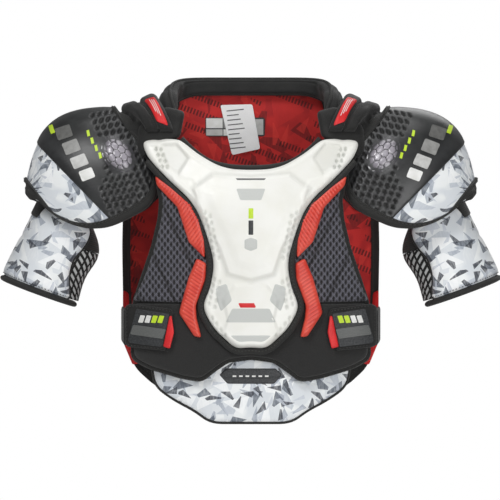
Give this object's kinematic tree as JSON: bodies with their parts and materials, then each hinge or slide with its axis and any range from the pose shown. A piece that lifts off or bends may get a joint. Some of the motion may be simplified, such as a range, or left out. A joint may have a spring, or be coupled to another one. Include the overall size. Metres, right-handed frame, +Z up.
{
  "type": "hockey shoulder pads",
  "caption": "Padded torso and shoulder protector with moulded chest plate, shoulder cups, bicep guards, hook-and-loop tabs and a sliding belly pad.",
  "frame": {"origin": "middle of the neck, at the level where the yokes rest on the shoulders", "axes": "+X towards the wearer's left side, +Y towards the wearer's back, +Z up; the chest faces -Y"},
  "size_m": [0.6336, 0.267, 0.433],
  "materials": {
    "red_liner": "brushed red lining cloth",
    "binding": "grosgrain edge binding",
    "satin_black": "satin black moulded cover",
    "satin_black_cup": "satin coated textile over a moulded cap",
    "white_tag": "smooth white sewn label",
    "black_fabric": "black woven cover cloth",
    "coral_rib": "coral red ribbed moulding",
    "white_shell": "moulded white foam plate with a satin skin",
    "loop_pile": "black loop pile",
    "pale_inset": "pale grey mesh",
    "grey_mesh": "grey spacer mesh",
    "shard_print": "white cloth with a grey shard print",
    "grey_bar": "grey rubber print"
  },
  "bodies": {
    "back": {"back_panel": "red_liner", "back_binding": "binding", "spine_plate_1": "satin_black", "spine_plate_2": "satin_black", "spine_plate_3": "satin_black", "care_tag": "white_tag", "size_label": "black_fabric", "collar": "black_fabric", "scapula_pad_left": "satin_black", "scapula_pad_right": "satin_black", "kidney_pad_left": "black_fabric", "kidney_pad_right": "black_fabric", "wing_left": "coral_rib", "wing_right": "coral_rib", "yoke_inner_left": "black_fabric", "yoke_inner_right": "black_fabric", "yoke_outer_left": "black_fabric", "yoke_outer_right": "black_fabric", "yoke_patch_left": "coral_rib", "yoke_patch_right": "coral_rib", "side_strap_left": "black_fabric", "side_strap_right": "black_fabric"},
    "chest": {"chest_liner": "black_fabric", "chest_plate": "white_shell", "plate_binding": "binding", "belly_panel": "loop_pile", "chest_binding": "binding", "vent_upper": "pale_inset", "vent_lower": "pale_inset", "mesh_panel_left": "grey_mesh", "mesh_panel_right": "grey_mesh", "rib_upper_left": "coral_rib", "rib_upper_right": "coral_rib", "rib_lower_left": "coral_rib", "rib_lower_right": "coral_rib"},
    "extension": {"extension_pad": "shard_print", "extension_label": "grey_bar"},
    "tab_left": {"strap_tab_left": "black_fabric", "strap_bar_left": "grey_bar", "strap_pull_left": "coral_rib"},
    "cup_left": {"cup_shell_left": "satin_black_cup", "cup_boss_left": "satin_black_cup", "cup_binding_left": "binding"},
    "bicep_left": {"bicep_pad_left": "shard_print", "bicep_strap_left": "black_fabric", "bicep_binding_left": "binding", "bicep_hanger_left": "black_fabric"},
    "tab_right": {"strap_tab_right": "black_fabric", "strap_bar_right": "grey_bar", "strap_pull_right": "coral_rib"},
    "cup_right": {"cup_shell_right": "satin_black_cup", "cup_boss_right": "satin_black_cup", "cup_binding_right": "binding"},
    "bicep_right": {"bicep_pad_right": "shard_print", "bicep_strap_right": "black_fabric", "bicep_binding_right": "binding", "bicep_hanger_right": "black_fabric"}
  },
  "joints": [
    {"name": "chest_swing", "type": "hinge", "parent": "back", "child": "chest", "pos_m": [0, -0.068, 0.002], "axis": [-1, 0, 0], "range_deg": [0, 12], "deforming": ["side_strap_left", "side_strap_right"]},
    {"name": "extension_slide", "type": "slide", "parent": "chest", "child": "extension", "axis": [0, 0, 1], "range_m": [-0.03, 0.015]},
    {"name": "tab_peel_left", "type": "hinge", "parent": "chest", "child": "tab_left", "pos_m": [-0.157, -0.08258, -0.239], "axis": [0, 0, -1], "range_deg": [0, 60]},
    {"name": "cup_lift_left", "type": "hinge", "parent": "back", "child": "cup_left", "pos_m": [-0.167, 0, 0.034], "axis": [0, 1, 0], "range_deg": [0, 50]},
    {"name": "bicep_lift_left", "type": "hinge", "parent": "cup_left", "child": "bicep_left", "pos_m": [-0.26941, 0, -0.08329], "axis": [0, 1, 0], "range_deg": [0, 35]},
    {"name": "tab_peel_right", "type": "hinge", "parent": "chest", "child": "tab_right", "pos_m": [0.157, -0.08258, -0.239], "axis": [0, 0, 1], "range_deg": [0, 60]},
    {"name": "cup_lift_right", "type": "hinge", "parent": "back", "child": "cup_right", "pos_m": [0.167, 0, 0.034], "axis": [0, -1, 0], "range_deg": [0, 50]},
    {"name": "bicep_lift_right", "type": "hinge", "parent": "cup_right", "child": "bicep_right", "pos_m": [0.26941, 0, -0.08329], "axis": [0, -1, 0], "range_deg": [0, 35]}
  ]
}
